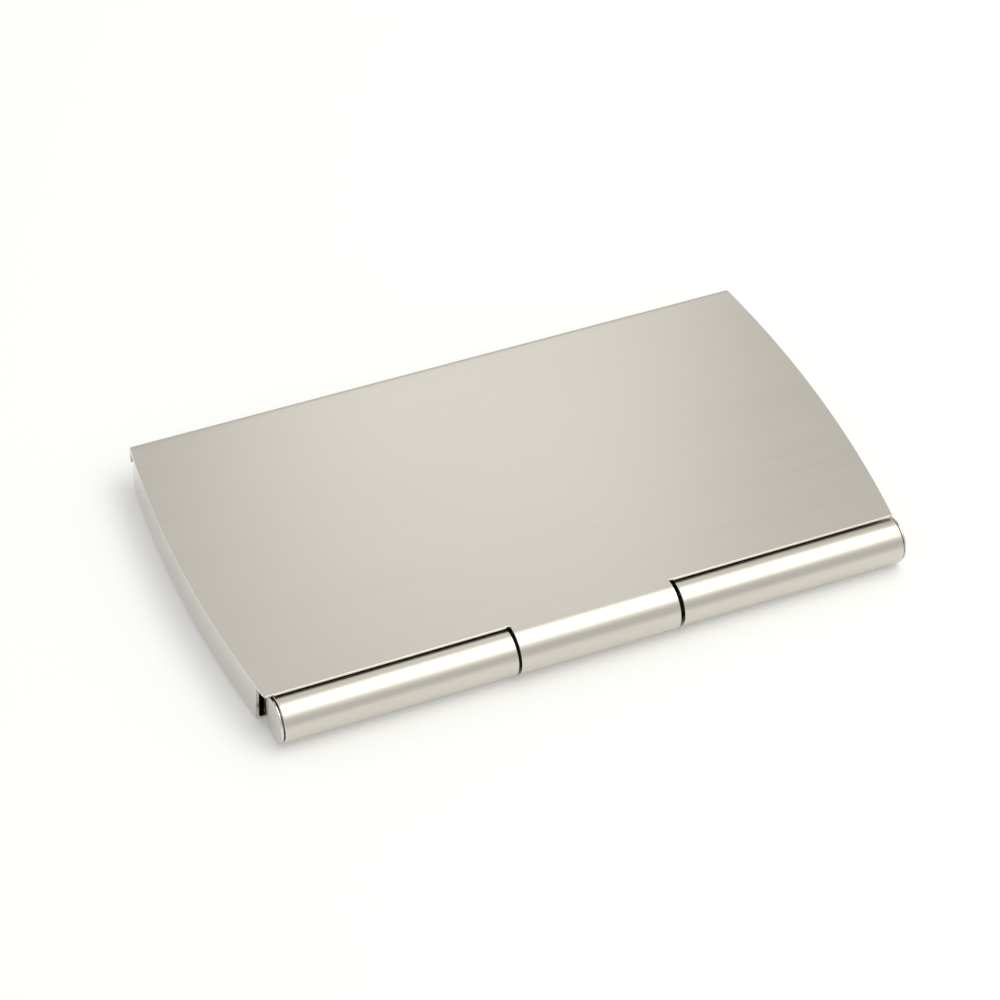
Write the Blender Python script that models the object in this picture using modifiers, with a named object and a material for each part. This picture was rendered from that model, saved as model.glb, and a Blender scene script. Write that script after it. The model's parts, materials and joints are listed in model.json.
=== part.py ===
"""Slim metal business card case with a rolled barrel hinge along its front edge.

The hinge axis is the design's datum: every outline below is written in (y, z)
or (x, y) measured from that axis, and each object's origin sits on it.
X runs along the hinge, +Y towards the opening edge, +Z up through the lid.
"""
import math

import bmesh
import bpy
from mathutils import Matrix, Vector

MM = 0.001

# Driving dimensions, in metres.
CORNER_WIDTH = 100.8 * MM       # between the sharp corners at either end
END_BOW = 2.05 * MM             # how far each end bulges past its corners
BACK_REACH = 57.4 * MM          # hinge axis to the lid's back edge
THICKNESS = 7.9 * MM            # closed case, bottom to top
LID_SHEET = 0.7 * MM
BASE_SHEET = 0.6 * MM
GAP = 0.2 * MM                  # between pieces that sit against each other
RUNNING_GAP = 0.1 * MM          # between pieces that turn on each other

# The barrel: one knuckle rolled from the lid, about the hinge axis, and two smaller
# ones rolled from the base, which touch the table with it and so sit a little lower.
BARREL_RADIUS = THICKNESS / 2
OUTER_KNUCKLE_RADIUS = 3.65 * MM
CENTRE_LEFT = -12.5 * MM
CENTRE_RIGHT = 13.05 * MM
LEFT_KNUCKLE_END = -12.8 * MM
RIGHT_KNUCKLE_END = 13.9 * MM
BARREL_LEFT = -49.0 * MM
BARREL_RIGHT = 50.4 * MM
LID_FRONT = 0.9 * MM            # lid's straight front edge, behind the axis
LID_SWEEP_RADIUS = 3.7 * MM     # the lid's front edge is relieved to this circle
FREE_EDGE_ANGLE = 66.0          # where the outer knuckles' sheet stops, under the lid
KNUCKLE_WRAP_END = 400.0        # where the lid's knuckle sheet stops

# Walls and card pocket.
WALL_FRONT = 4.0 * MM
WALL_TOP = BARREL_RADIUS - LID_SHEET - GAP
LIP_DROP = 3.2 * MM             # lid's back lip, from the top face down
LIP_BEND = 1.3 * MM             # outer radius of that lip's bend
FLOOR_BEND = 0.9 * MM
EDGE_BREAK = 0.2 * MM           # polished bevel on the lid's bowed ends
RAIL_SHEET = 0.3 * MM
RAIL_HEIGHT = 5.4 * MM
RAIL_FOOT = 3.0 * MM
RAIL_HALF = 49.2 * MM

# Hinge hardware, inside a thin steel sleeve in each outer knuckle.
SLEEVE_WALL = 0.3 * MM
PIN_RADIUS = 0.8 * MM
PIN_HALF = 48.4 * MM
SPIGOT_LENGTH = 5.0 * MM
JOURNAL_BODY = 6.5 * MM
CAP_SHANK = 3.6 * MM
CAP_HEAD = 0.35 * MM
CAP_DOME = 0.12 * MM
CAP_RIM = 0.2 * MM
CAP_RADIUS = 3.45 * MM
WIRE_RADIUS = 0.25 * MM
COIL_RADIUS = 1.6 * MM
LEG_HOLE_RADIUS = 0.4 * MM
COIL_TURNS = 14
LEG_LENGTH = 2.2 * MM

# Leaf spring under the cards, and its two rivets.
LEAF_SHEET = 0.25 * MM
LEAF_WIDTH = 12.0 * MM
LEAF_ROOT_X = -26.0 * MM
LEAF_TAIL = 2.0 * MM
LEAF_LENGTH = 52.0 * MM
LEAF_RISE = 1.75 * MM
LEAF_Y = 30.0 * MM
RIVET_SPACING = 6.5 * MM
RIVET_SHANK = 0.6 * MM
RIVET_HEAD = 1.2 * MM

AXIS = Vector((0.0, -(BACK_REACH - BARREL_RADIUS) / 2, BARREL_RADIUS))
FLOOR_TOP = -BARREL_RADIUS + BASE_SHEET
KNUCKLE_DROP = BARREL_RADIUS - OUTER_KNUCKLE_RADIUS
SLEEVE_RADIUS = OUTER_KNUCKLE_RADIUS - BASE_SHEET - RUNNING_GAP
SHANK_RADIUS = SLEEVE_RADIUS - SLEEVE_WALL - RUNNING_GAP
SPIGOT_RADIUS = SHANK_RADIUS - KNUCKLE_DROP
WALL_BACK = BACK_REACH - LID_SHEET - GAP
SMALL_ARC_STEP = 18.0
TURN_STEPS = 36


def clear_scene():
    for item in list(bpy.data.objects):
        bpy.data.objects.remove(item, do_unlink=True)


def new_collection(name):
    collection = bpy.data.collections.new(name)
    bpy.context.scene.collection.children.link(collection)
    return collection


def metal(name, colour, roughness, metallic=1.0):
    material = bpy.data.materials.new(name)
    material.use_nodes = True
    shader = material.node_tree.nodes["Principled BSDF"]
    shader.inputs["Base Color"].default_value = (*colour, 1.0)
    shader.inputs["Roughness"].default_value = roughness
    shader.inputs["Metallic"].default_value = metallic
    return material


def arc(radius, start, end, centre=(0.0, 0.0), step=5.0):
    """Points on an arc, angles in degrees counter-clockwise from the first axis."""
    count = max(2, round(abs(end - start) / step))
    angles = [math.radians(start + (end - start) * i / count) for i in range(count + 1)]
    return [(centre[0] + radius * math.cos(a), centre[1] + radius * math.sin(a)) for a in angles]


def place(mesh, name, collection, material=None):
    """Make an object of a mesh drawn about the hinge axis."""
    item = bpy.data.objects.new(name, mesh)
    item.location = AXIS
    if material:
        mesh.materials.append(material)
    collection.objects.link(item)
    return item


def as_cutter(item):
    item.hide_render = True
    item.display_type = "WIRE"
    return item


def prism_mesh(name, outline, low, high):
    """A flat (x, y) outline, extruded upwards from low to high."""
    curve = bpy.data.curves.new(name, "CURVE")
    curve.dimensions = "2D"
    curve.fill_mode = "BOTH"
    curve.extrude = (high - low) / 2
    spline = curve.splines.new("POLY")
    spline.points.add(len(outline) - 1)
    for point, (a, b) in zip(spline.points, outline):
        point.co = (a, b, 0.0, 1.0)
    spline.use_cyclic_u = True
    guide = bpy.data.objects.new(name, curve)
    bpy.context.scene.collection.objects.link(guide)
    bpy.context.view_layer.update()
    mesh = bpy.data.meshes.new_from_object(guide.evaluated_get(bpy.context.evaluated_depsgraph_get()))
    bpy.data.objects.remove(guide, do_unlink=True)
    bpy.data.curves.remove(curve)
    form = bmesh.new()
    form.from_mesh(mesh)
    bmesh.ops.remove_doubles(form, verts=form.verts, dist=0.0005 * MM)
    bmesh.ops.recalc_face_normals(form, faces=form.faces)
    bmesh.ops.translate(form, vec=(0.0, 0.0, (low + high) / 2), verts=form.verts)
    form.to_mesh(mesh)
    form.free()
    mesh.name = name
    return mesh


def ribbon_mesh(name, path, direction, matrix=None):
    """An open sheet: a path in (y, z), swept along a direction."""
    form = bmesh.new()
    points = [form.verts.new((0.0, a, b)) for a, b in path]
    edges = [form.edges.new(pair) for pair in zip(points, points[1:])]
    swept = bmesh.ops.extrude_edge_only(form, edges=edges)["geom"]
    moved = [item for item in swept if isinstance(item, bmesh.types.BMVert)]
    bmesh.ops.translate(form, verts=moved, vec=direction)
    if matrix:
        bmesh.ops.transform(form, matrix=matrix, verts=form.verts)
    mesh = bpy.data.meshes.new(name)
    form.to_mesh(mesh)
    form.free()
    return mesh


def box(name, low, high):
    """A block between two corners, drawn about the hinge axis."""
    form = bmesh.new()
    bmesh.ops.create_cube(form, size=1.0)
    size = Vector(high) - Vector(low)
    middle = (Vector(high) + Vector(low)) / 2
    matrix = Matrix.Translation(middle) @ Matrix.Diagonal((*size, 1.0))
    bmesh.ops.transform(form, matrix=matrix, verts=form.verts)
    mesh = bpy.data.meshes.new(name)
    form.to_mesh(mesh)
    form.free()
    return as_cutter(place(mesh, name, cutters))


def drill(name, centre, radius, depth, axis="X", sides=24):
    """A round cutter centred on a point, along X or Z."""
    form = bmesh.new()
    bmesh.ops.create_cone(form, cap_ends=True, segments=sides, radius1=radius, radius2=radius, depth=depth)
    turn = Matrix.Rotation(math.radians(90), 4, "Y") if axis == "X" else Matrix.Identity(4)
    bmesh.ops.transform(form, matrix=Matrix.Translation(centre) @ turn, verts=form.verts)
    mesh = bpy.data.meshes.new(name)
    form.to_mesh(mesh)
    form.free()
    return as_cutter(place(mesh, name, cutters))


def solidify(item, thickness, offset):
    modifier = item.modifiers.new("sheet", "SOLIDIFY")
    modifier.thickness = thickness
    modifier.offset = offset
    modifier.use_even_offset = True


def combine(item, other, operation):
    modifier = item.modifiers.new(other.name, "BOOLEAN")
    modifier.operation = operation
    modifier.object = other
    modifier.solver = "EXACT"


def turned(name, profile, material, collection, matrix=None):
    """A profile of (radius, height) turned about its own vertical axis.

    A profile that returns to its first point makes a ring with a bore.
    """
    closed = profile[0] == profile[-1]
    form = bmesh.new()
    points = [form.verts.new((radius, 0.0, height)) for radius, height in profile[:len(profile) - closed]]
    for pair in zip(points, points[1:] + points[:1] * closed):
        form.edges.new(pair)
    mesh = bpy.data.meshes.new(name)
    form.to_mesh(mesh)
    form.free()
    item = place(mesh, name, collection, material)
    screw = item.modifiers.new("turn", "SCREW")
    screw.axis = "Z"
    screw.steps = TURN_STEPS
    screw.render_steps = TURN_STEPS
    screw.use_merge_vertices = True
    screw.merge_threshold = 0.01 * MM
    screw.use_smooth_shade = True
    if matrix:
        item.matrix_world = Matrix.Translation(AXIS) @ matrix
    return item


def end_curve(front, back, inset):
    """The right-hand bowed end as (x, y), from front to back."""
    middle = (LID_FRONT + BACK_REACH) / 2
    half = (BACK_REACH - LID_FRONT) / 2
    radius = (half ** 2 + END_BOW ** 2) / (2 * END_BOW)
    centre = CORNER_WIDTH / 2 + END_BOW - radius
    radius -= inset
    count = 24
    ys = [front + (back - front) * i / count for i in range(count + 1)]
    return [(centre + math.sqrt(radius ** 2 - (y - middle) ** 2), y) for y in ys]


def plan_outline(front, back, inset):
    """Both bowed ends, joined by straight edges."""
    right = end_curve(front, back, inset)
    return right + [(-x, y) for x, y in reversed(right)]


def make_lid(material):
    plate = BARREL_RADIUS
    roll = arc(plate, KNUCKLE_WRAP_END, 90.0)
    bend = arc(LIP_BEND, 90.0, 0.0, (BACK_REACH - LIP_BEND, plate - LIP_BEND))
    path = roll + bend + [(BACK_REACH, plate - LIP_DROP)]
    reach = CORNER_WIDTH / 2 + 2 * END_BOW
    mesh = ribbon_mesh("lid_shell", path, (2 * reach, 0, 0), Matrix.Translation((-reach, 0, 0)))
    lid = place(mesh, "lid_shell", parts, material)
    solidify(lid, LID_SHEET, -1.0)

    # The sheet is cut away in front of the straight edges over the base's knuckles.
    below = plate - LID_SHEET - GAP
    for side, start, end in (("left", -reach - MM, CENTRE_LEFT), ("right", CENTRE_RIGHT, reach + MM)):
        front = -BARREL_RADIUS - MM
        notch = box(side + "_lid_notch", (start, front, front), (end, LID_FRONT, plate + MM))
        combine(lid, notch, "DIFFERENCE")
        under = box(side + "_roll_relief", (start, front, front), (end, BARREL_RADIUS + MM, below))
        combine(lid, under, "DIFFERENCE")
        middle = ((start + end) / 2, 0, 0)
        sweep = drill(side + "_sweep_relief", middle, LID_SWEEP_RADIUS, end - start, sides=96)
        combine(lid, sweep, "DIFFERENCE")

    combine(lid, make_end_trimmer(), "INTERSECT")
    return lid


def make_end_trimmer():
    """Convex block with the two bowed ends and a fine bevel along their top edges."""
    top = BARREL_RADIUS
    form = bmesh.new()
    for height, inset in ((-2 * top, 0.0), (top - EDGE_BREAK, 0.0), (top + EDGE_BREAK, 2 * EDGE_BREAK)):
        for x, y in plan_outline(-BARREL_RADIUS - MM, BACK_REACH + MM, inset):
            form.verts.new((x, y, height))
    hull = bmesh.ops.convex_hull(form, input=form.verts)
    bmesh.ops.delete(form, geom=hull["geom_interior"], context="VERTS")
    mesh = bpy.data.meshes.new("end_trimmer")
    form.to_mesh(mesh)
    form.free()
    return as_cutter(place(mesh, "end_trimmer", cutters))


def make_base(material):
    roll = arc(OUTER_KNUCKLE_RADIUS, FREE_EDGE_ANGLE, 270.0, (0.0, -KNUCKLE_DROP))
    bend = arc(FLOOR_BEND, 270.0, 360.0, (WALL_BACK - FLOOR_BEND, -BARREL_RADIUS + FLOOR_BEND))
    path = roll + bend + [(WALL_BACK, WALL_TOP)]
    reach = CORNER_WIDTH / 2 + 2 * END_BOW
    mesh = ribbon_mesh("base_shell", path, (2 * reach, 0, 0), Matrix.Translation((-reach, 0, 0)))
    base = place(mesh, "base_shell", parts, material)
    solidify(base, BASE_SHEET, 1.0)

    # Bowed ends behind the barrel, square ends on the barrel itself.
    right = end_curve(WALL_FRONT, WALL_BACK + MM, GAP)
    outline = [(BARREL_RIGHT, -BARREL_RADIUS - MM), (BARREL_RIGHT, WALL_FRONT)] + right
    outline += [(-x, y) for x, y in reversed(right)]
    outline += [(BARREL_LEFT, WALL_FRONT), (BARREL_LEFT, -BARREL_RADIUS - MM)]
    mesh = prism_mesh("base_outline", outline, -2 * BARREL_RADIUS, 2 * BARREL_RADIUS)
    combine(base, as_cutter(place(mesh, "base_outline", cutters)), "INTERSECT")

    # End walls standing on the floor.
    for side, sign in (("left", -1), ("right", 1)):
        outer = end_curve(WALL_FRONT, WALL_BACK - FLOOR_BEND / 2, GAP)
        inner = end_curve(WALL_FRONT, WALL_BACK - FLOOR_BEND / 2, GAP + BASE_SHEET)
        outline = [(sign * x, y) for x, y in outer + inner[::-1]]
        mesh = prism_mesh(side + "_end_wall", outline, -BARREL_RADIUS + BASE_SHEET / 2, WALL_TOP)
        combine(base, as_cutter(place(mesh, side + "_end_wall", cutters)), "UNION")

    # Clearance for the lid's knuckle, and holes for the leaf spring's rivets.
    floor_front = 2.6 * MM
    clearance = box("knuckle_clearance", (LEFT_KNUCKLE_END, -BARREL_RADIUS - MM, -BARREL_RADIUS - MM),
                    (RIGHT_KNUCKLE_END, floor_front, BARREL_RADIUS + MM))
    combine(base, clearance, "DIFFERENCE")
    for name, y in rivet_places():
        hole = drill(name + "_hole", (LEAF_ROOT_X, y, FLOOR_TOP), RIVET_SHANK + RUNNING_GAP, 4 * MM, "Z")
        combine(base, hole, "DIFFERENCE")
    return base


def make_rail(material):
    """Folded strip that keeps the cards clear of the barrel."""
    front = BARREL_RADIUS + GAP + 0.05 * MM
    low = FLOOR_TOP + RUNNING_GAP
    path = [(front, low + RAIL_HEIGHT), (front, low), (front + RAIL_FOOT, low)]
    mesh = ribbon_mesh("card_stop_rail", path, (2 * RAIL_HALF, 0, 0),
                       Matrix.Translation((-RAIL_HALF, 0, 0)))
    rail = place(mesh, "card_stop_rail", parts, material)
    solidify(rail, RAIL_SHEET, 1.0)
    return rail


def make_pin(material):
    form = bmesh.new()
    bmesh.ops.create_cone(form, cap_ends=True, segments=32, radius1=PIN_RADIUS, radius2=PIN_RADIUS,
                          depth=2 * PIN_HALF)
    bmesh.ops.transform(form, matrix=Matrix.Rotation(math.radians(90), 4, "Y"), verts=form.verts)
    mesh = bpy.data.meshes.new("hinge_pin")
    form.to_mesh(mesh)
    form.free()
    mesh.shade_smooth()
    return place(mesh, "hinge_pin", parts, material)


def make_journal(side, sign, start, end, material):
    """Plug pressed into the lid's knuckle, whose spigot turns in the base's knuckle."""
    bore = PIN_RADIUS + RUNNING_GAP
    body = BARREL_RADIUS - LID_SHEET - RUNNING_GAP
    tip = abs(end) + SPIGOT_LENGTH
    root = abs(start)
    inner = root - JOURNAL_BODY
    profile = [(SPIGOT_RADIUS, tip), (SPIGOT_RADIUS, root), (body, root), (body, inner),
               (bore, inner), (bore, tip), (SPIGOT_RADIUS, tip)]
    aim = Matrix.Rotation(math.radians(sign * 90), 4, "Y")
    name = side + "_hinge_journal"
    journal = turned(name, profile, material, parts, aim)
    hole = drill(name + "_leg_hole", (sign * tip, 0, -COIL_RADIUS), LEG_HOLE_RADIUS, 2 * LEG_LENGTH + MM)
    combine(journal, hole, "DIFFERENCE")
    return sign * tip


def aim_at_knuckle(sign):
    """Lays a turned piece on the outer knuckles' own centre line, towards one end."""
    return Matrix.Translation((0, 0, -KNUCKLE_DROP)) @ Matrix.Rotation(math.radians(sign * 90), 4, "Y")


def make_sleeve(side, sign, knuckle_end, barrel_end, material):
    """Thin tube that lines an outer knuckle, around the spring."""
    near = abs(knuckle_end) + GAP
    far = abs(barrel_end) - GAP
    wall = SLEEVE_RADIUS - SLEEVE_WALL
    profile = [(SLEEVE_RADIUS, far), (SLEEVE_RADIUS, near), (wall, near), (wall, far), (SLEEVE_RADIUS, far)]
    return turned(side + "_spring_sleeve", profile, material, parts, aim_at_knuckle(sign))


def make_cap(side, sign, barrel_end, material):
    """Domed end plug with a shank inside the knuckle and an off-centre blind bore for the pin."""
    seat = abs(barrel_end) + GAP
    rim_centre = (CAP_RADIUS - CAP_RIM, seat + CAP_HEAD - CAP_RIM)
    rim = arc(CAP_RIM, 90.0, 0.0, rim_centre, SMALL_ARC_STEP)
    inner = abs(barrel_end) - CAP_SHANK
    profile = [(0.0, seat + CAP_HEAD + CAP_DOME), (CAP_RADIUS / 2, seat + CAP_HEAD + CAP_DOME * 0.75)]
    profile += rim + [(CAP_RADIUS, seat), (SHANK_RADIUS, seat), (SHANK_RADIUS, inner), (0.0, inner)]
    cap = turned(side + "_end_cap", profile, material, parts, aim_at_knuckle(sign))
    depth = PIN_HALF + GAP - inner
    bore = drill(side + "_pin_bore", (sign * inner, 0, 0), PIN_RADIUS + RUNNING_GAP, 2 * depth)
    combine(cap, bore, "DIFFERENCE")
    hole = drill(side + "_cap_leg_hole", (sign * inner, 0, -COIL_RADIUS), LEG_HOLE_RADIUS,
                 2 * LEG_LENGTH + MM)
    combine(cap, hole, "DIFFERENCE")
    return sign * inner


def make_spring(side, outer_face, inner_face, material):
    """Torsion spring on the pin, with a straight leg into each end piece."""
    sign = 1 if outer_face > 0 else -1
    low = inner_face + sign * (WIRE_RADIUS + GAP)
    high = outer_face - sign * (WIRE_RADIUS + GAP)
    per_turn = 12
    count = COIL_TURNS * per_turn
    points = []
    for i in range(count + 1):
        angle = math.radians(-90) + 2 * math.pi * i / per_turn
        x = low + (high - low) * i / count
        points.append((x, COIL_RADIUS * math.cos(angle), COIL_RADIUS * math.sin(angle)))
    start = (inner_face - sign * LEG_LENGTH, 0.0, -COIL_RADIUS)
    finish = (outer_face + sign * LEG_LENGTH, 0.0, -COIL_RADIUS)
    points = [start] + points + [finish]
    curve = bpy.data.curves.new(side + "_torsion_spring", "CURVE")
    curve.dimensions = "3D"
    curve.bevel_depth = WIRE_RADIUS
    curve.bevel_resolution = 2
    curve.use_fill_caps = True
    spline = curve.splines.new("POLY")
    spline.points.add(len(points) - 1)
    for point, place_at in zip(spline.points, points):
        point.co = (*place_at, 1.0)
    curve.materials.append(material)
    spring = bpy.data.objects.new(side + "_torsion_spring", curve)
    spring.location = AXIS
    parts.objects.link(spring)
    return spring


def rivet_places():
    return (("front_rivet", LEAF_Y - RIVET_SPACING / 2), ("back_rivet", LEAF_Y + RIVET_SPACING / 2))


def leaf_height(distance):
    """Height of the leaf above its root, rising smoothly to a rounded crest."""
    crest = 0.8 * LEAF_LENGTH
    share = max(0.0, distance) / crest
    return LEAF_RISE * (0.5 - 0.5 * math.cos(math.pi * share))


def make_leaf(material):
    """Bowed strip on the floor that presses the cards up against the lid."""
    low = FLOOR_TOP + GAP
    count = 26
    steps = [-LEAF_TAIL + (LEAF_LENGTH + LEAF_TAIL) * i / count for i in range(count + 1)]
    path = [(d, low + leaf_height(d)) for d in steps]
    turn = Matrix(((0, 1, 0, 0), (-1, 0, 0, 0), (0, 0, 1, 0), (0, 0, 0, 1)))
    shift = Matrix.Translation((LEAF_ROOT_X, LEAF_Y + LEAF_WIDTH / 2, 0))
    mesh = ribbon_mesh("card_leaf_spring", path, (LEAF_WIDTH, 0, 0), shift @ turn)
    leaf = place(mesh, "card_leaf_spring", parts, material)
    solidify(leaf, LEAF_SHEET, 1.0)
    for name, y in rivet_places():
        hole = drill(name + "_leaf_hole", (LEAF_ROOT_X, y, low), RIVET_SHANK + RUNNING_GAP, 2 * MM, "Z")
        combine(leaf, hole, "DIFFERENCE")
    # The leaf flexes about its rivet line, so that is where its origin goes.
    root = Vector((LEAF_ROOT_X, LEAF_Y, low))
    mesh.transform(Matrix.Translation(-root))
    leaf.location = AXIS + root
    return leaf


def make_rivets(material):
    leaf_top = FLOOR_TOP + GAP + LEAF_SHEET
    head_low = leaf_top + GAP
    dome = arc(RIVET_HEAD, 90.0, 0.0, step=SMALL_ARC_STEP)
    for name, y in rivet_places():
        head = [(a, head_low + b * 0.4) for a, b in dome]
        profile = head + [(RIVET_SHANK, head_low), (RIVET_SHANK, -BARREL_RADIUS), (0.0, -BARREL_RADIUS)]
        turned(name, profile, material, parts, Matrix.Translation((LEAF_ROOT_X, y, 0)))


clear_scene()
parts = new_collection("business_card_case")
cutters = new_collection("cutters")

brushed = metal("brushed_nickel", (0.62, 0.59, 0.54), 0.34)
polished = metal("polished_nickel", (0.70, 0.67, 0.62), 0.12)
sheet_steel = metal("inner_steel", (0.52, 0.51, 0.49), 0.38)
spring_steel = metal("spring_steel", (0.42, 0.43, 0.45), 0.28)
acetal = metal("black_acetal", (0.02, 0.02, 0.022), 0.45, 0.0)

make_lid(brushed)
make_base(brushed)
make_rail(sheet_steel)
make_pin(spring_steel)
for side, sign, start, end, tip in (("left", -1, CENTRE_LEFT, LEFT_KNUCKLE_END, BARREL_LEFT),
                                    ("right", 1, CENTRE_RIGHT, RIGHT_KNUCKLE_END, BARREL_RIGHT)):
    make_sleeve(side, sign, end, tip, sheet_steel)
    journal_face = make_journal(side, sign, start, end, acetal)
    cap_face = make_cap(side, sign, tip, polished)
    make_spring(side, cap_face, journal_face, spring_steel)
make_leaf(spring_steel)
make_rivets(polished)
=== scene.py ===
# %% [markdown]
# # A slim metal business card case
#
# The real object is two folded sheets of nickel plated steel. The upper sheet is the lid, and its middle
# is rolled into a hinge knuckle. The lower sheet is the tray, and it has a knuckle on either side of
# that one. Polished plugs close the barrel. This lesson rebuilds every visible piece as a finely shaped
# mesh around the plain solids that fix the sizes, and then gives each one its own procedural finish.

# %% Load the solids that fix every place and size
import json
import math

import bmesh
import bpy
from mathutils import Matrix, Vector


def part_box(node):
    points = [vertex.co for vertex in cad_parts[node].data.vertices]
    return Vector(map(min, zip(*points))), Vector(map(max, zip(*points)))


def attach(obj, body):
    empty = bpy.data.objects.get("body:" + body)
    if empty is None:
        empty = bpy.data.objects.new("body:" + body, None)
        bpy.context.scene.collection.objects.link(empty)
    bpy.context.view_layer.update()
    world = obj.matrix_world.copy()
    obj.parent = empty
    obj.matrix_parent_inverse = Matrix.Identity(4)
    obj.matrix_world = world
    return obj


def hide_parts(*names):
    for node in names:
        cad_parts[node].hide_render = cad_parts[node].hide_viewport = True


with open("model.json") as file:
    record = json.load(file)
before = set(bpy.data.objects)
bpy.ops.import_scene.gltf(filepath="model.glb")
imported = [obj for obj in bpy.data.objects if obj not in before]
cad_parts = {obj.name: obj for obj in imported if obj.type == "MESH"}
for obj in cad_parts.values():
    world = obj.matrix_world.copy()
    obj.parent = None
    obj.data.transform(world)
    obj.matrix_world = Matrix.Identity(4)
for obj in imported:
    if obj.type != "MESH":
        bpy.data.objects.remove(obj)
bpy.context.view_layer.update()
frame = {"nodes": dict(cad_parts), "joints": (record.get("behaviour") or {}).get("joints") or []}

MM = 0.001

# %% [markdown]
# ## The hinge line is the datum
#
# A folded sheet is easiest to draw side on, as a line in (y, z) measured from the hinge axis, because
# every roll and bend is then an arc with a simple centre. The axis itself comes from the joint, and the
# outer sizes come from the solids' boxes. A box only tells a piece's furthest points, though: the tray's
# box reaches up to its knuckles, so the walls drawn from it here end 0.3 mm above the solid's own walls.

# %% Driving sizes
hinge = next(j for j in frame["joints"] if j["name"] == "lid_hinge")
AXIS = Vector(hinge["pos_m"])
lid_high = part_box("lid_shell")[1]
rail_low, rail_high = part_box("card_stop_rail")
base_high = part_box("base_shell")[1]

BARREL_RADIUS = AXIS.z
KNUCKLE_RADIUS = 3.65 * MM          # of the two outer knuckles, which touch the table too
BACK_REACH = lid_high.y - AXIS.y
END_BOW = 2.05 * MM
LID_SHEET = 0.7 * MM
BASE_SHEET = 0.6 * MM
GAP = 0.2 * MM
RUNNING_GAP = 0.1 * MM
TOUCH = 0.01 * MM                   # closer than this counts as the same place
LID_FRONT = 0.9 * MM
CENTRE_LEFT = -12.5 * MM
CENTRE_RIGHT = 13.05 * MM
LEFT_KNUCKLE_END = -12.8 * MM
RIGHT_KNUCKLE_END = 13.9 * MM
BARREL_LEFT = -49.0 * MM
BARREL_RIGHT = 50.4 * MM
WALL_FRONT = 4.0 * MM
WALL_TOP = base_high.z - AXIS.z     # level with the knuckles, 0.3 mm above the solid's walls
WALL_BACK = base_high.y - AXIS.y
KNUCKLE_DROP = BARREL_RADIUS - KNUCKLE_RADIUS
KNUCKLE_AXIS = AXIS - Vector((0, 0, KNUCKLE_DROP))
rivet_boxes = [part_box(name) for name in ("front_rivet", "back_rivet")]
rivet_middles = [(low + high) / 2 for low, high in rivet_boxes]
print("barrel radius", round(BARREL_RADIUS / MM, 2), "mm, reach", round(BACK_REACH / MM, 2), "mm")


# %% Arcs and the bowed ends
def arc(radius, start, end, centre=(0.0, 0.0), step=4.0):
    """Points on an arc, with its angles in degrees."""
    count = max(2, round(abs(end - start) / step))
    turns = [math.radians(start + (end - start) * i / count) for i in range(count + 1)]
    return [(centre[0] + radius * math.cos(a), centre[1] + radius * math.sin(a)) for a in turns]


def spread(start, end, count):
    """Evenly spaced values, both ends included."""
    return [start + (end - start) * i / count for i in range(count + 1)]


BOW_MIDDLE = (LID_FRONT + BACK_REACH) / 2
BOW_HALF = (BACK_REACH - LID_FRONT) / 2
BOW_RADIUS = (BOW_HALF ** 2 + END_BOW ** 2) / (2 * END_BOW)


def end_x(y, inset=0.0):
    """Half width of the case at a distance y behind the hinge axis."""
    return lid_high.x - BOW_RADIUS + math.sqrt((BOW_RADIUS - inset) ** 2 - (y - BOW_MIDDLE) ** 2)


print("corner to corner", round(2 * end_x(BACK_REACH) / MM, 1), "mm, over the bows",
      round(2 * end_x(BOW_MIDDLE) / MM, 1), "mm")

# %% [markdown]
# ## From a bmesh to a finished piece
#
# Each piece is drawn about the hinge axis, so it is shifted to its place in the mesh itself and its
# object stays at the origin. That keeps patterns on Object coordinates still, and lets the piece turn
# with its body. A sharp edge never catches the light, so edges that should be broken get a bevel weight,
# and one Bevel modifier rounds them. `harden_normals` keeps the flat faces flat beside those small
# rounds.


# %% Piece helpers
SHARP_ANGLE = math.radians(35)      # a fold that turns further than this is an edge


def finish_mesh(form, name, finishes, body, stands_for, centre=AXIS):
    """Turns a bmesh drawn about a centre into a piece that rides on its body."""
    bmesh.ops.translate(form, verts=form.verts, vec=centre)
    mesh = bpy.data.meshes.new(name)
    form.to_mesh(mesh)
    form.free()
    for finish in finishes:
        mesh.materials.append(finish)
    mesh.shade_smooth()
    piece = bpy.data.objects.new(name, mesh)
    bpy.context.scene.collection.objects.link(piece)
    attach(piece, body)
    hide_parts(stands_for)
    print(name, "has", len(mesh.polygons), "faces")
    return piece


def weigh_edges(form, weight_of):
    """Gives each sharp edge the bevel weight that weight_of returns for it."""
    layer = form.edges.layers.float.new("bevel_weight_edge")
    for edge in form.edges:
        if len(edge.link_faces) == 2 and edge.calc_face_angle() > SHARP_ANGLE:
            edge[layer] = weight_of(edge)


def round_edges(piece, width, segments, finish=-1):
    """A Bevel modifier on the weighed edges, with the flats beside them kept flat."""
    modifier = piece.modifiers.new("broken_edges", "BEVEL")
    modifier.limit_method = "WEIGHT"
    modifier.width = width
    modifier.segments = segments
    modifier.profile = 0.5
    modifier.material = finish
    modifier.harden_normals = True
    modifier.use_clamp_overlap = True


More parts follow.
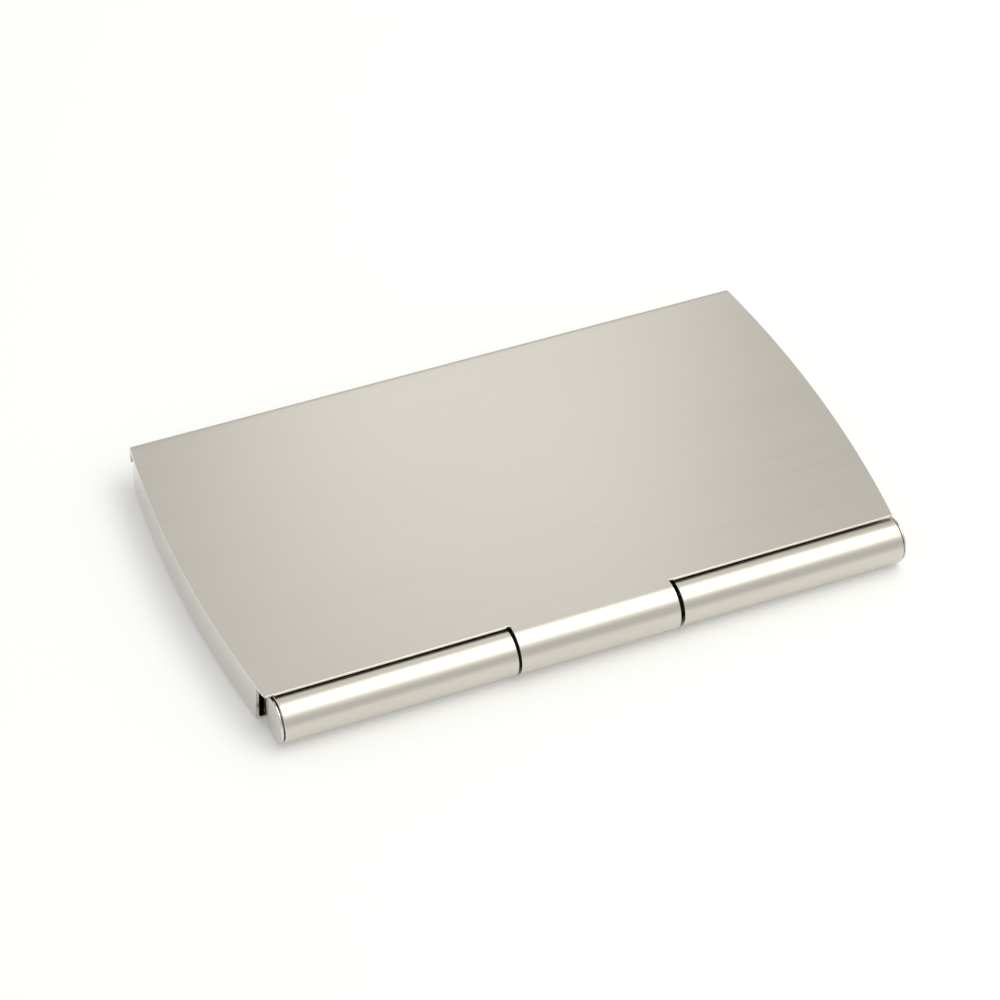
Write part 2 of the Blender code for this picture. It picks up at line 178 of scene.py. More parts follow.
def new_sheet(path, stations):
    """A line in (y, z), extruded along X from station to station. Rows are numbered on the vertices."""
    form = bmesh.new()
    row = form.verts.layers.int.new("row")
    column = form.verts.layers.int.new("column")
    points = [form.verts.new((stations[0], y, z)) for y, z in path]
    for number, point in enumerate(points):
        point[row] = number
    edges = [form.edges.new(pair) for pair in zip(points, points[1:])]
    for number, (here, there) in enumerate(zip(stations, stations[1:]), 1):
        swept = bmesh.ops.extrude_edge_only(form, edges=edges)["geom"]
        moved = [item for item in swept if isinstance(item, bmesh.types.BMVert)]
        edges = [item for item in swept if isinstance(item, bmesh.types.BMEdge)]
        edges = [edge for edge in edges if all(v in moved for v in edge.verts)]
        bmesh.ops.translate(form, verts=moved, vec=(there - here, 0, 0))
        for point in moved:
            point[column] = number
    return form, row, column


def turned(profile, sign, steps=96):
    """A profile of (radius, distance along X) spun about the hinge axis, towards one side."""
    form = bmesh.new()
    closed = profile[0] == profile[-1]
    drawn = profile[:len(profile) - closed]
    points = [form.verts.new((sign * along, 0.0, radius)) for radius, along in drawn]
    edges = [form.edges.new(pair) for pair in zip(points, points[1:] + points[:1] * closed)]
    bmesh.ops.spin(form, geom=points + edges, cent=(0, 0, 0), axis=(1, 0, 0), angle=2 * math.pi,
                   steps=steps, use_merge=True)
    bmesh.ops.remove_doubles(form, verts=form.verts, dist=0.0005 * MM)
    bmesh.ops.recalc_face_normals(form, faces=form.faces)
    return form


# %% [markdown]
# ## Brushed nickel
#
# The sheet was brushed along its length before it was folded, so the scratches run along X on the flat
# top, over the roll and down the lip alike. Noise that is stretched over a hundred times along X gives
# that grain from Object coordinates alone. Three sizes of it are mixed: hairlines, bundles of scratches,
# and the broad uneven bands that a belt leaves, which are so faint that they only show at a glance along
# the sheet. The same grain drives roughness, bump and a little colour. Light spreads across the grain
# and hardly along it, so the shader is anisotropic: its tangent is the X axis, which the lid's turning
# leaves alone, and a quarter turn of the anisotropy points the wide side of every highlight across the
# scratches.
#
# Handling rubs the edges bright. The Bevel node gives the normal that a rounded edge would have, and
# where it leans away from the true normal an edge must be near. That share is broken up with noise, so
# the wear is uneven.


# %% Brushed metal
WEAR_REACH = 0.16 * MM


def grain(tree, scale, detail=2.0, seed=0.0):
    """Noise stretched by a different scale along each axis, in patterns to a metre."""
    coords = tree.nodes.new("ShaderNodeTexCoord")
    mapping = tree.nodes.new("ShaderNodeMapping")
    mapping.inputs["Scale"].default_value = scale
    mapping.inputs["Location"].default_value = (seed, seed, seed)
    noise = tree.nodes.new("ShaderNodeTexNoise")
    noise.inputs["Scale"].default_value = 1.0
    noise.inputs["Detail"].default_value = detail
    noise.inputs["Roughness"].default_value = 0.6
    tree.links.new(coords.outputs["Object"], mapping.inputs["Vector"])
    tree.links.new(mapping.outputs["Vector"], noise.inputs["Vector"])
    return noise.outputs["Fac"]


def math_node(tree, operation, first, second=0.0, third=0.0):
    """One Math node. Each operand is a number or another node's output."""
    node = tree.nodes.new("ShaderNodeMath")
    node.operation = operation
    for socket, operand in zip(node.inputs, (first, second, third)):
        if isinstance(operand, (int, float)):
            socket.default_value = operand
        else:
            tree.links.new(operand, socket)
    return node.outputs[0]


def remap(tree, value, low, high, to_low, to_high):
    node = tree.nodes.new("ShaderNodeMapRange")
    tree.links.new(value, node.inputs["Value"])
    for name, number in (("From Min", low), ("From Max", high), ("To Min", to_low), ("To Max", to_high)):
        node.inputs[name].default_value = number
    return node.outputs["Result"]


def blend_colours(tree, share, first, second):
    """A mix of two colours. Each is three numbers or another node's output."""
    node = tree.nodes.new("ShaderNodeMix")
    node.data_type = "RGBA"
    tree.links.new(share, node.inputs["Factor"])
    for name, colour in (("A", first), ("B", second)):
        if isinstance(colour, bpy.types.NodeSocket):
            tree.links.new(colour, node.inputs[name])
        else:
            node.inputs[name].default_value = (*colour, 1.0)
    return node.outputs["Result"]


def edge_wear(tree, radius):
    """Share of wear, from 0 on the flats to 1 on an exposed edge."""
    rounded = tree.nodes.new("ShaderNodeBevel")
    rounded.samples = 4
    rounded.inputs["Radius"].default_value = radius
    true = tree.nodes.new("ShaderNodeNewGeometry")
    lean = tree.nodes.new("ShaderNodeVectorMath")
    lean.operation = "DOT_PRODUCT"
    tree.links.new(rounded.outputs["Normal"], lean.inputs[0])
    tree.links.new(true.outputs["Normal"], lean.inputs[1])
    near = remap(tree, lean.outputs["Value"], 0.995, 0.88, 0.0, 1.0)
    uneven = remap(tree, grain(tree, (350, 900, 900), 3.0, 9.0), 0.35, 0.6, 0.15, 1.0)
    return math_node(tree, "MULTIPLY", near, uneven)


def brushed(name, light, dark, roughness, spread_by, bump, anisotropy, across=1.0):
    """Metal with scratches along X. across makes the scratches finer."""
    material = bpy.data.materials.new(name)
    material.use_nodes = True
    tree = material.node_tree
    shader = tree.nodes["Principled BSDF"]
    hairlines = grain(tree, (60 * across, 9000 * across, 9000 * across), 3.0)
    bundles = grain(tree, (24 * across, 3200 * across, 3200 * across), 2.0, 3.0)
    bands = grain(tree, (6, 210, 210), 2.0, 7.0)
    smudges = grain(tree, (35, 50, 50), 3.0, 11.0)
    mixed = math_node(tree, "MULTIPLY_ADD", hairlines, 0.55, math_node(tree, "MULTIPLY", bundles, 0.45))
    shade = math_node(tree, "MULTIPLY_ADD", mixed, 0.88, math_node(tree, "MULTIPLY", bands, 0.12))
    wear = edge_wear(tree, WEAR_REACH)
    metal = blend_colours(tree, remap(tree, shade, 0.30, 0.70, 0.0, 1.0), dark, light)
    colour = blend_colours(tree, math_node(tree, "MULTIPLY", wear, 0.5), metal, [c * 1.15 for c in light])
    rough = math_node(tree, "MULTIPLY_ADD", math_node(tree, "SUBTRACT", shade, 0.5), spread_by, roughness)
    rough = math_node(tree, "MULTIPLY_ADD", math_node(tree, "SUBTRACT", smudges, 0.5), spread_by * 0.3, rough)
    rough = math_node(tree, "MULTIPLY_ADD", wear, -0.08, rough)
    lift = tree.nodes.new("ShaderNodeBump")
    lift.inputs["Strength"].default_value = bump
    lift.inputs["Distance"].default_value = 0.006 * MM
    tree.links.new(mixed, lift.inputs["Height"])
    along = tree.nodes.new("ShaderNodeCombineXYZ")
    along.inputs["X"].default_value = 1.0
    tree.links.new(colour, shader.inputs["Base Color"])
    tree.links.new(rough, shader.inputs["Roughness"])
    tree.links.new(lift.outputs["Normal"], shader.inputs["Normal"])
    tree.links.new(along.outputs["Vector"], shader.inputs["Tangent"])
    shader.inputs["Metallic"].default_value = 1.0
    shader.inputs["Anisotropic"].default_value = anisotropy
    shader.inputs["Anisotropic Rotation"].default_value = 0.25
    return material


satin_nickel = brushed("satin_nickel", (0.675, 0.645, 0.580), (0.625, 0.595, 0.532),
                       0.30, 0.14, 0.25, 0.35)
inner_nickel = brushed("inner_nickel", (0.66, 0.64, 0.60), (0.61, 0.59, 0.55),
                       0.24, 0.12, 0.18, 0.45, 0.7)
rolled_steel = brushed("rolled_steel", (0.52, 0.51, 0.49), (0.46, 0.45, 0.43),
                       0.34, 0.16, 0.20, 0.35, 0.6)
spring_steel = brushed("drawn_spring_steel", (0.40, 0.41, 0.44), (0.34, 0.35, 0.38),
                       0.26, 0.14, 0.20, 0.30, 0.8)
print("brushed finishes:", [m.name for m in (satin_nickel, inner_nickel, rolled_steel, spring_steel)])


# %% [markdown]
# ## Polished nickel
#
# Rims, end walls and end caps are polished. A mirror is never perfect: it has a faint haze that varies,
# and fine swirls from the buffing wheel. The swirls only touch the roughness and the bump, and the haze
# shifts the colour by a few hundredths, because on a mirror the colour stays nearly even.


# %% Polished metal
def polished(name, colour, roughness, swirl):
    material = bpy.data.materials.new(name)
    material.use_nodes = True
    tree = material.node_tree
    shader = tree.nodes["Principled BSDF"]
    haze = grain(tree, (180, 180, 180), 4.0, 2.0)
    swirls = grain(tree, (2600, 900, 5200), 2.0, 5.0)
    tone = blend_colours(tree, remap(tree, haze, 0.3, 0.7, 0.0, 1.0), [c * 0.94 for c in colour], colour)
    rough = math_node(tree, "MULTIPLY_ADD", haze, 0.10, roughness - 0.05)
    rough = math_node(tree, "MULTIPLY_ADD", swirls, 0.05, rough)
    lift = tree.nodes.new("ShaderNodeBump")
    lift.inputs["Strength"].default_value = swirl
    lift.inputs["Distance"].default_value = 0.004 * MM
    tree.links.new(swirls, lift.inputs["Height"])
    tree.links.new(tone, shader.inputs["Base Color"])
    tree.links.new(rough, shader.inputs["Roughness"])
    tree.links.new(lift.outputs["Normal"], shader.inputs["Normal"])
    shader.inputs["Metallic"].default_value = 1.0
    return material


polished_nickel = polished("mirror_nickel", (0.74, 0.71, 0.66), 0.10, 0.25)
sheared_edge = polished("sheared_edge", (0.78, 0.75, 0.70), 0.16, 0.45)
print("polished finishes:", [m.name for m in (polished_nickel, sheared_edge)])

# %% [markdown]
# ## Black acetal
#
# The two hinge bearings are moulded plastic, so that metal doesn't rub on metal. Moulded parts are never
# quite one colour: the plastic streaks a little where it flowed along the mould, and the mould's own
# fine grit is printed on the surface. Stretched noise gives the streaks, and even noise gives the grit.


# %% Moulded acetal
def moulded(name, colour):
    material = bpy.data.materials.new(name)
    material.use_nodes = True
    tree = material.node_tree
    shader = tree.nodes["Principled BSDF"]
    grit = grain(tree, (4200, 4200, 4200), 3.0)
    flow = grain(tree, (120, 400, 400), 2.0, 4.0)
    tone = blend_colours(tree, remap(tree, flow, 0.3, 0.7, 0.0, 1.0), colour, [c * 1.7 for c in colour])
    rough = math_node(tree, "MULTIPLY_ADD", grit, 0.20, 0.22)
    lift = tree.nodes.new("ShaderNodeBump")
    lift.inputs["Strength"].default_value = 0.3
    lift.inputs["Distance"].default_value = 0.01 * MM
    tree.links.new(grit, lift.inputs["Height"])
    tree.links.new(tone, shader.inputs["Base Color"])
    tree.links.new(rough, shader.inputs["Roughness"])
    tree.links.new(lift.outputs["Normal"], shader.inputs["Normal"])
    return material


black_acetal = moulded("moulded_acetal", (0.012, 0.012, 0.013))
print("moulded finish:", black_acetal.name)

# %% [markdown]
# ## The lid
#
# The lid is one sheet: a knuckle that wraps almost all the way round the pin, a flat top, and a lip that
# is rolled down at the back. It is drawn as a line in (y, z) and extruded along X in three spans, so the
# outer two spans can lose their share of the roll. The last column of each end is then moved on to the
# bow. Only after that does the sheet get its thickness, which leaves a clean row of faces all round its
# cut edge.
#
# The front edge lies so close to the outer knuckles that its lower corner would catch on them as the lid
# opens. So the underside is hollowed there, along a circle about the hinge axis that clears the knuckles.

# %% Lid sheet
LIP_DROP = 3.2 * MM
LIP_BEND = 1.3 * MM
KNUCKLE_WRAP_END = 400.0
ROLL_STEP = 3.0             # degrees between the points of a rolled knuckle
SWEEP_RADIUS = 3.71 * MM
HOLLOW_ROWS = 6
PLATE_ROWS = 40
LID_BREAK = 0.2 * MM

roll = arc(BARREL_RADIUS, KNUCKLE_WRAP_END, 90.0, step=ROLL_STEP)
inner_height = BARREL_RADIUS - LID_SHEET
sweep_back = math.sqrt(SWEEP_RADIUS ** 2 - inner_height ** 2)
top_ys = spread(LID_FRONT, sweep_back, HOLLOW_ROWS)[:-1]
top_ys += spread(sweep_back, BACK_REACH - LIP_BEND, PLATE_ROWS)
top = [(y, BARREL_RADIUS) for y in top_ys]
lip = arc(LIP_BEND, 90.0, 0.0, (BACK_REACH - LIP_BEND, BARREL_RADIUS - LIP_BEND), step=7.5)[1:]
lip += [(BACK_REACH, BARREL_RADIUS - LIP_DROP)]
form, row, column = new_sheet(roll + top + lip, (-lid_high.x, CENTRE_LEFT, CENTRE_RIGHT, lid_high.x))
outer_roll = [f for f in form.faces
              if min(v[row] for v in f.verts) < len(roll) and {v[column] for v in f.verts} != {1, 2}]
bmesh.ops.delete(form, geom=outer_roll, context="FACES")
for point in form.verts:
    if point[column] in (0, 3):
        point.co.x = math.copysign(end_x(point.co.y), point.co.x)
plate = max(form.faces, key=lambda f: f.calc_area())
if plate.normal.z < 0:
    bmesh.ops.reverse_faces(form, faces=form.faces)
form.normal_update()
outside = list(form.faces)
bmesh.ops.solidify(form, geom=outside, thickness=LID_SHEET)
for point in form.verts:
    inside = abs(point.co.z - inner_height) < TOUCH
    if inside and LID_FRONT - TOUCH < point.co.y < sweep_back:
        point.co.z = math.sqrt(SWEEP_RADIUS ** 2 - point.co.y ** 2)
print("lid sheet:", len(outside), "outer faces")

# %% [markdown]
# A bowed end has a wider bevel along its top than the other edges, because the end is ground to its
# curve after the sheet is folded and then polished. The ground ends and all the bevels get the polished
# finish, the straight cuts stay brushed, and the inner face has a smoother brushing.


# %% Lid finish and edges
def mark_sides(form, outside):
    """Material 0 outside, 1 on the cut edge, 2 inside."""
    outer = set(outside)
    touching = {e for f in outer for e in f.edges}
    for face in form.faces:
        if face in outer:
            face.material_index = 0
        elif any(e in touching for e in face.edges):
            face.material_index = 1
        else:
            face.material_index = 2


def lid_edge_weight(edge):
    """Wide on top of the ground ends, narrow elsewhere."""
    on_top = all(v.co.z > BARREL_RADIUS - TOUCH for v in edge.verts)
    at_end = all(abs(abs(v.co.x) - end_x(v.co.y)) < TOUCH for v in edge.verts)
    if at_end:
        return 1.0 if all(v.co.z > BARREL_RADIUS - LIP_BEND for v in edge.verts) else 0.35
    return 0.6 if on_top else 0.3


mark_sides(form, outside)
for face in form.faces:
    if face.material_index == 1 and abs(face.normal.y) > 0.9:
        face.material_index = 0
weigh_edges(form, lid_edge_weight)
lid_finishes = (satin_nickel, sheared_edge, inner_nickel)
lid = finish_mesh(form, "lid_folded_sheet", lid_finishes, "lid", "lid_shell")
round_edges(lid, LID_BREAK, 3, finish=1)

# %% [markdown]
# ## The tray
#
# The tray's walls and the bend below them are one stack of rings. Each ring is the same bowed plan, a
# little lower and a little further in than the one above it, so the rings follow a quarter circle down
# to the floor. One more ring lies flat on the floor, and keeps the bend's shading from creeping across
# it. The floor is then filled inside that ring, round the two rivet holes and the notch for the lid's
# knuckle. Its two tabs at the front are extruded step by step along the circle of the knuckles.

# %% Tray walls and bend
FLOOR_BEND = 0.9 * MM
CORNER_ROUND = 1.5 * MM
NOTCH_BACK = 2.6 * MM
FREE_EDGE_ANGLE = 66.0
HOLE_RADIUS = 0.7 * MM
FLAT_RING = 0.4 * MM
SIDE_POINTS = 30
TRAY_BREAK = 0.12 * MM


def wall_plan(inset):
    """Plan of the walls: up the right side, along the back and down the left side."""
    turn_y = WALL_BACK - CORNER_ROUND
    middle = (end_x(turn_y, GAP) - CORNER_ROUND, turn_y)
    side = [(end_x(y, GAP + inset), y) for y in spread(WALL_FRONT, turn_y, SIDE_POINTS)][:-1]
    right = side + arc(CORNER_ROUND - inset, 0.0, 90.0, middle, step=15.0)
    return right + [(-x, y) for x, y in reversed(right)]


rings = [(0.0, WALL_TOP)]
for inset, rise in arc(FLOOR_BEND, 180.0, 270.0, (FLOOR_BEND, FLOOR_BEND), step=15.0):
    rings.append((inset, rise - BARREL_RADIUS))
rings.append((FLOOR_BEND + FLAT_RING, -BARREL_RADIUS))
form = bmesh.new()
above = []
for inset, height in rings:
    ring = [form.verts.new((x, y, height)) for x, y in wall_plan(inset)]
    for a, b, c, d in zip(above, above[1:], ring[1:], ring):
        form.faces.new((a, b, c, d))
    above = ring
print("tray walls:", len(form.faces), "faces in", len(rings) - 1, "rows")

# %% Tray floor
front = [(BARREL_LEFT, WALL_FRONT), (BARREL_LEFT, 0.0),
         (LEFT_KNUCKLE_END, 0.0), (LEFT_KNUCKLE_END, NOTCH_BACK),
         (RIGHT_KNUCKLE_END, NOTCH_BACK), (RIGHT_KNUCKLE_END, 0.0),
         (BARREL_RIGHT, 0.0), (BARREL_RIGHT, WALL_FRONT)]
tabs = [form.verts.new((x, y, -BARREL_RADIUS)) for x, y in front]
border = [above[-1]] + tabs + [above[0]]
rim = [form.edges.new(pair) for pair in zip(border, border[1:])]
rim += [form.edges.get(pair) for pair in zip(above, above[1:])]
for middle in rivet_middles:
    place = Matrix.Translation((middle.x, middle.y - AXIS.y, -BARREL_RADIUS))
    ring = bmesh.ops.create_circle(form, segments=32, radius=HOLE_RADIUS, matrix=place)
    rim += list({e for v in ring["verts"] for e in v.link_edges})
bmesh.ops.triangle_fill(form, use_beauty=True, edges=rim)
print("tray floor and walls:", len(form.faces), "faces")

# %% Outer knuckles, rolled from the floor's two tabs
knuckle_line = arc(KNUCKLE_RADIUS, 270.0, FREE_EDGE_ANGLE, (0.0, -KNUCKLE_DROP), step=ROLL_STEP)[1:]
edges = [e for e in form.edges if all(abs(v.co.y) < TOUCH for v in e.verts)]
at = (0.0, -BARREL_RADIUS)
for y, z in knuckle_line:
    swept = bmesh.ops.extrude_edge_only(form, edges=edges)["geom"]
    moved = [item for item in swept if isinstance(item, bmesh.types.BMVert)]
    edges = [item for item in swept if isinstance(item, bmesh.types.BMEdge)
             and all(v in moved for v in item.verts)]
    bmesh.ops.translate(form, verts=moved, vec=(0, y - at[0], z - at[1]))
    at = (y, z)
bmesh.ops.remove_doubles(form, verts=form.verts, dist=0.001 * MM)
bmesh.ops.recalc_face_normals(form, faces=form.faces)
under = max(form.faces, key=lambda f: f.calc_area() * abs(f.normal.z))
if under.normal.z > 0:
    bmesh.ops.reverse_faces(form, faces=form.faces)
form.normal_update()
outside = list(form.faces)
bmesh.ops.solidify(form, geom=outside, thickness=BASE_SHEET)
mark_sides(form, outside)
print("tray with its knuckles:", len(form.faces), "faces")

# %% Tray finish: brushed floor and knuckles, polished walls
for face in form.faces:
    is_wall = abs(face.normal.z) < 0.5 and face.calc_center_median().y > WALL_FRONT
    if face.material_index == 0 and is_wall:
        face.material_index = 3
weigh_edges(form, lambda edge: 1.0 if all(v.co.y < WALL_FRONT for v in edge.verts) else 0.6)
tray_finishes = (satin_nickel, sheared_edge, inner_nickel, polished_nickel)
base = finish_mesh(form, "tray_folded_sheet", tray_finishes, "base", "base_shell")
round_edges(base, TRAY_BREAK, 3, finish=1)

# %% [markdown]
# ## Turned pieces
#
# End caps, bearings, sleeves and rivets are all turned on a lathe, so each is a profile of radius
# against distance that is spun through a full circle. Small arcs in the profile are the edges that the
# tool breaks. The cap's face is a shallow dome: that is why it shows a soft gradient and not one flat
# reflection. Caps and sleeves sit in the outer knuckles, so they are turned about those knuckles' own,
# slightly lower, centre line.

# %% End caps
PIN_RADIUS = 0.8 * MM
SLEEVE_WALL = 0.3 * MM
SLEEVE_RADIUS = KNUCKLE_RADIUS - BASE_SHEET - RUNNING_GAP
SHANK_RADIUS = SLEEVE_RADIUS - SLEEVE_WALL - RUNNING_GAP
SPIGOT_RADIUS = SHANK_RADIUS - KNUCKLE_DROP
CUP_WALL = 0.45 * MM
CUP_RADIUS = SHANK_RADIUS - CUP_WALL    # hollow of the cap's shank, which takes pin and spring leg
CAP_RADIUS = 3.45 * MM
CAP_RIM = 0.2 * MM
CAP_SHANK = 3.6 * MM
CAP_HEAD = 0.35 * MM
CAP_DOME = 0.12 * MM
PIN_HALF = 48.4 * MM
BREAK = 0.06 * MM
BORE = PIN_RADIUS + RUNNING_GAP


def cap_profile(barrel_end):
    seat = barrel_end + GAP
    inner = barrel_end - CAP_SHANK
    flat = CAP_RADIUS - CAP_RIM
    dome = [(flat * s, seat + CAP_HEAD + CAP_DOME * (1 - s * s)) for s in spread(0.0, 1.0, 14)]
    rim = arc(CAP_RIM, 90.0, 0.0, (flat, seat + CAP_HEAD - CAP_RIM), step=9.0)[1:]
    back = arc(BREAK, 0.0, -90.0, (CAP_RADIUS - BREAK, seat + BREAK), step=30.0)
    shank = [(SHANK_RADIUS, seat)] + arc(BREAK, 0.0, -90.0, (SHANK_RADIUS - BREAK, inner + BREAK), step=30.0)
    hollow = [(CUP_RADIUS, inner), (CUP_RADIUS, PIN_HALF + GAP), (0.0, PIN_HALF + GAP)]
    return dome + rim + back + shank + hollow


for side_name, sign, end in (("left", -1, -BARREL_LEFT), ("right", 1, BARREL_RIGHT)):
    cap = finish_mesh(turned(cap_profile(end), sign), side_name + "_domed_cap", (polished_nickel,), "base",
                      side_name + "_end_cap", KNUCKLE_AXIS)
    cap.data.set_sharp_from_angle(angle=SHARP_ANGLE)

# %% Bearings, sleeves and pin
SPIGOT_LENGTH = 5.0 * MM
JOURNAL_BODY = 6.5 * MM


def journal_profile(start, end):
    tip = end + SPIGOT_LENGTH
    body = BARREL_RADIUS - LID_SHEET - RUNNING_GAP
    nose = arc(BREAK, 90.0, 0.0, (SPIGOT_RADIUS - BREAK, tip - BREAK), step=30.0)
    shoulder = arc(BREAK, 90.0, 0.0, (body - BREAK, start - BREAK), step=30.0)
    inner = start - JOURNAL_BODY
    return nose + [(SPIGOT_RADIUS, start)] + shoulder + [(body, inner), (BORE, inner), (BORE, tip), nose[0]]


def sleeve_profile(end, barrel_end):
    near, far, wall = end + GAP, barrel_end - GAP, SLEEVE_RADIUS - SLEEVE_WALL
    return [(SLEEVE_RADIUS, far), (SLEEVE_RADIUS, near), (wall, near), (wall, far), (SLEEVE_RADIUS, far)]


for side_name, sign, start, end, tip in (("left", -1, -CENTRE_LEFT, -LEFT_KNUCKLE_END, -BARREL_LEFT),
                                         ("right", 1, CENTRE_RIGHT, RIGHT_KNUCKLE_END, BARREL_RIGHT)):
    journal = finish_mesh(turned(journal_profile(start, end), sign), side_name + "_bearing",
                          (black_acetal,), "lid", side_name + "_hinge_journal")
    journal.data.set_sharp_from_angle(angle=SHARP_ANGLE)
    sleeve = finish_mesh(turned(sleeve_profile(end, tip), sign), side_name + "_sleeve", (rolled_steel,),
                         "base", side_name + "_spring_sleeve", KNUCKLE_AXIS)
    sleeve.data.set_sharp_from_angle(angle=SHARP_ANGLE)

# The springs and the pin keep their solids, and only take a finish.
for name in ("left_torsion_spring", "right_torsion_spring", "hinge_pin"):
    frame["nodes"][name].data.materials.clear()
    frame["nodes"][name].data.materials.append(spring_steel)
print("hinge hardware done")

# %% [markdown]
# ## Inside the tray
#
# A folded rail keeps the cards off the barrel. A bowed leaf of spring steel, fastened by two small
# rivets, lifts them against the lid. The leaf starts as a flat outline with its holes, is sliced across
# every millimetre or two, and only then is bent by moving the slices up along a cosine.

# %% Card stop rail
RAIL_SHEET = 0.3 * MM
RAIL_BEND = 0.5 * MM
RAIL_BREAK = 0.04 * MM

rail_front = rail_low.y - AXIS.y
rail_back = rail_high.y - AXIS.y
rail_bottom = rail_low.z - AXIS.z
rail_top = rail_high.z - AXIS.z
fold = arc(RAIL_BEND, 180.0, 270.0, (rail_front + RAIL_BEND, rail_bottom + RAIL_BEND), step=15.0)
rail_path = [(rail_front, rail_top)] + fold + [(rail_back, rail_bottom)]
form = new_sheet(rail_path, (rail_low.x, 0.0, rail_high.x))[0]
if max(form.faces, key=lambda f: f.calc_area()).normal.y > 0:
    bmesh.ops.reverse_faces(form, faces=form.faces)
form.normal_update()
outside = list(form.faces)
bmesh.ops.solidify(form, geom=outside, thickness=RAIL_SHEET)
weigh_edges(form, lambda edge: 1.0)
rail = finish_mesh(form, "folded_card_rail", (rolled_steel,), "base", "card_stop_rail")
round_edges(rail, RAIL_BREAK, 2)

# %% Leaf spring
leaf_low, leaf_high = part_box("card_leaf_spring")
LEAF_SHEET = 0.25 * MM
LEAF_ROOT = rivet_middles[0].x
LEAF_LENGTH = 52.0 * MM
LEAF_CREST = 0.8 * LEAF_LENGTH
LEAF_RISE = 1.75 * MM
LEAF_SLICES = 45
TIP_ROUND = 3.0 * MM


def leaf_height(distance):
    share = max(0.0, distance) / LEAF_CREST
    return LEAF_RISE * (0.5 - 0.5 * math.cos(math.pi * share))


def rounded_rectangle(low_x, low_y, high_x, high_y, radius):
    corners = ((high_x - radius, high_y - radius, 0), (low_x + radius, high_y - radius, 90),
               (low_x + radius, low_y + radius, 180), (high_x - radius, low_y + radius, 270))
    return [p for x, y, start in corners for p in arc(radius, start, start + 90, (x, y), step=10.0)]


form = bmesh.new()
tip = rounded_rectangle(leaf_low.x, leaf_low.y, leaf_high.x, leaf_high.y, TIP_ROUND)
points = [form.verts.new((x, y, 0.0)) for x, y in tip]
edges = [form.edges.new(pair) for pair in zip(points, points[1:] + points[:1])]
for middle in rivet_middles:
    place = Matrix.Translation((middle.x, middle.y, 0.0))
    ring = bmesh.ops.create_circle(form, segments=32, radius=HOLE_RADIUS, matrix=place)
    edges += list({e for v in ring["verts"] for e in v.link_edges})
bmesh.ops.triangle_fill(form, use_beauty=True, edges=edges)
for x in spread(leaf_low.x, leaf_high.x, LEAF_SLICES)[1:-1]:
    everything = list(form.verts) + list(form.edges) + list(form.faces)
    bmesh.ops.bisect_plane(form, geom=everything, dist=0.0001 * MM, plane_co=(x, 0, 0), plane_no=(1, 0, 0))
bmesh.ops.recalc_face_normals(form, faces=form.faces)
if next(iter(form.faces)).normal.z > 0:
    bmesh.ops.reverse_faces(form, faces=form.faces)
for point in form.verts:
    point.co.z = leaf_low.z + leaf_height(point.co.x - LEAF_ROOT)
form.normal_update()
outside = list(form.faces)
bmesh.ops.solidify(form, geom=outside, thickness=LEAF_SHEET)
leaf = finish_mesh(form, "bowed_leaf", (spring_steel,), "card_spring", "card_leaf_spring",
                   Vector((0, 0, 0)))
leaf.data.set_sharp_from_angle(angle=SHARP_ANGLE)

# %% Rivets
RIVET_SHANK = 0.6 * MM
RIVET_HEAD = 1.2 * MM
DOME_SHARE = 0.4            # height of the head's dome, as a share of its radius

for name, (low, high), middle in zip(("front_rivet", "back_rivet"), rivet_boxes, rivet_middles):
    head_low = high.z - DOME_SHARE * RIVET_HEAD
    dome = [(a, head_low + b * DOME_SHARE) for a, b in arc(RIVET_HEAD, 90.0, 0.0, step=9.0)]
    profile = dome + [(RIVET_SHANK, head_low), (RIVET_SHANK, low.z), (0.0, low.z)]
    form = turned(profile, 1, steps=48)
    bmesh.ops.rotate(form, verts=form.verts, cent=(0, 0, 0), matrix=Matrix.Rotation(-math.pi / 2, 3, "Y"))
    place = Vector((middle.x, middle.y, 0.0))
    rivet = finish_mesh(form, name + "_domed", (polished_nickel,), "base", name, place)
    rivet.data.set_sharp_from_angle(angle=SHARP_ANGLE)

# %% [markdown]
# ## Stage, light and camera
#
# Brushed metal has no look of its own: it shows the room. So the room is a pale floor that runs out to a
# pale surround, with one big soft light almost overhead. That light is what draws the bright line along
# the barrel, a dimmer one lower down in front lets that line fade out softly, and the surround gives the
# flat lid its even grey. A small dim panel behind the case lies where the lid mirrors the view, so the
# lid fades a little towards its near corners.


# %% Floor
FLOOR_RADIUS = 3.0


def pale_floor():
    material = bpy.data.materials.new("pale_floor")
    material.use_nodes = True
    shader = material.node_tree.nodes["Principled BSDF"]
    shader.inputs["Base Color"].default_value = (0.92, 0.92, 0.92, 1.0)
    shader.inputs["Roughness"].default_value = 0.85
    shader.inputs["Emission Color"].default_value = (1.0, 1.0, 1.0, 1.0)
    shader.inputs["Emission Strength"].default_value = 0.14
    return material


form = bmesh.new()
bmesh.ops.create_circle(form, cap_ends=True, segments=64, radius=FLOOR_RADIUS)
mesh = bpy.data.meshes.new("floor")
form.to_mesh(mesh)
form.free()
mesh.materials.append(pale_floor())
floor = bpy.data.objects.new("floor", mesh)
bpy.context.scene.collection.objects.link(floor)
print("floor", len(mesh.polygons), "face")


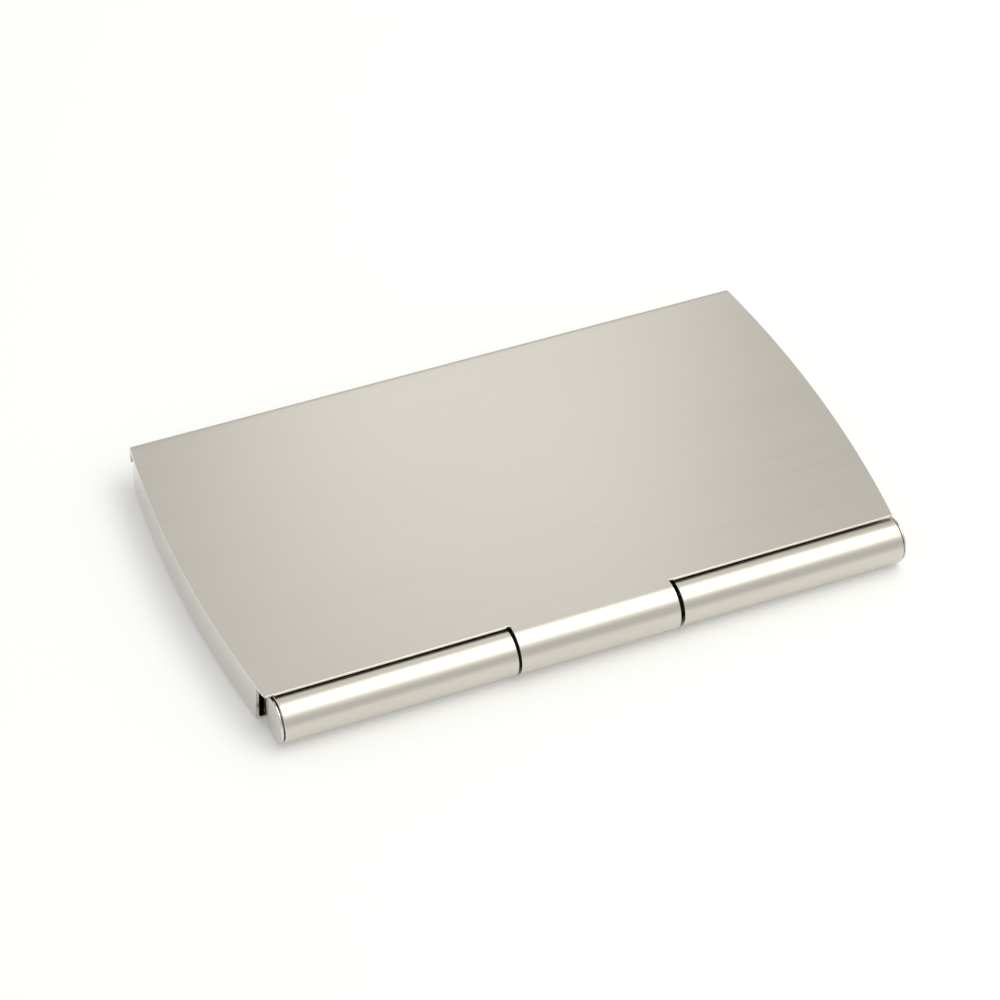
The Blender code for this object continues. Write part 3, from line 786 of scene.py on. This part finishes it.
# %% Soft light
def soft_light(name, direction, distance, width, height, power, colour=(1, 1, 1)):
    """A rectangular softbox that faces the case from a direction."""
    data = bpy.data.lights.new(name, "AREA")
    data.shape = "RECTANGLE"
    data.size = width
    data.size_y = height
    data.energy = power
    data.color = colour
    lamp = bpy.data.objects.new(name, data)
    away = Vector(direction).normalized()
    lamp.location = away * distance
    lamp.rotation_euler = away.to_track_quat("Z", "Y").to_euler()
    bpy.context.scene.collection.objects.link(lamp)


world = bpy.data.worlds.new("pale_room")
world.use_nodes = True
world.node_tree.nodes["Background"].inputs["Color"].default_value = (1.0, 1.0, 1.0, 1.0)
world.node_tree.nodes["Background"].inputs["Strength"].default_value = 0.65
bpy.context.scene.world = world
soft_light("overhead_softbox", (0.32, -0.14, 0.94), 0.7, 0.60, 0.40, 1.5, (1.0, 0.995, 0.90))
soft_light("front_fill", (0.30, -0.50, 0.81), 0.7, 0.60, 0.35, 0.42, (1.0, 0.995, 0.90))
soft_light("back_panel", (0.30, 0.70, 0.65), 0.36, 0.12, 0.12, 0.028)

# %% Camera
LENS = 132.4
AZIMUTH = math.radians(26.16)
ELEVATION = math.radians(43.60)
ROLL = math.radians(-3.18)
TARGET = Vector((-3.115, -1.205, 7.9)) * MM
DISTANCE = 550.1 * MM

back = Vector((-math.sin(AZIMUTH) * math.cos(ELEVATION), -math.cos(AZIMUTH) * math.cos(ELEVATION),
               math.sin(ELEVATION)))
level_right = (-back).cross(Vector((0, 0, 1))).normalized()
level_down = (-back).cross(level_right)
right_axis = level_right * math.cos(ROLL) + level_down * math.sin(ROLL)
up_axis = level_right * math.sin(ROLL) - level_down * math.cos(ROLL)
data = bpy.data.cameras.new("camera")
data.lens = LENS
data.sensor_width = 36.0
data.clip_start = 0.01
camera = bpy.data.objects.new("camera", data)
turn = Matrix((right_axis, up_axis, back)).transposed()
camera.matrix_world = Matrix.Translation(TARGET + back * DISTANCE) @ turn.to_4x4()
bpy.context.scene.collection.objects.link(camera)
bpy.context.scene.camera = camera
bpy.context.scene.view_settings.view_transform = "Standard"
print("camera", round(DISTANCE / MM), "mm away")
